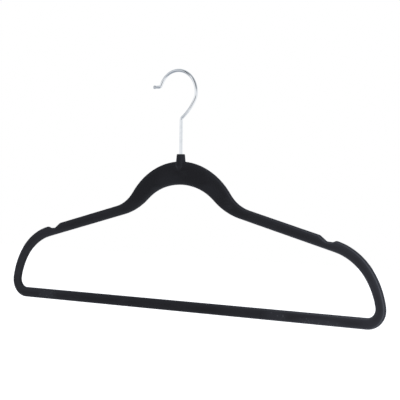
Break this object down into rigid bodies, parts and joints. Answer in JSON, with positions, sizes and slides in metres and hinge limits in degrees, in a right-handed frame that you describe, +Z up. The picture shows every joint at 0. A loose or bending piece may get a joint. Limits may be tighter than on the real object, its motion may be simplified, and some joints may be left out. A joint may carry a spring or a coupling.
{
  "type": "clothes hanger",
  "caption": "Slim velvet-covered suit hanger with strap notches, a trouser bar and a chrome wire hook that swivels in its neck.",
  "frame": {"origin": "rail seat: where the swivel axis meets the underside of the hook's bow", "axes": "+X along the width, to the right seen from the front, with the hook's tip towards -X; +Y through the thickness to the back; +Z up along the swivel axis"},
  "size_m": [0.45, 0.01, 0.2439],
  "materials": {
    "chrome_wire": "bright chrome plate on steel wire",
    "bush_acetal": "black acetal, turned",
    "zinc_steel": "zinc plated steel",
    "moulded_abs": "black ABS under the velvet",
    "velvet": "short nylon velvet pile, black"
  },
  "bodies": {
    "hook": {"hook_wire": "chrome_wire"},
    "frame": {"frame_core": "moulded_abs", "flock_coat": "velvet", "swivel_bush": "bush_acetal", "thrust_washer": "zinc_steel", "head_cup": "zinc_steel"}
  },
  "joints": [
    {"name": "hook_swivel", "type": "hinge", "parent": "hook", "child": "frame", "pos_m": [0, 0, -0.08577], "axis": [0, 0, 1], "continuous": true}
  ]
}
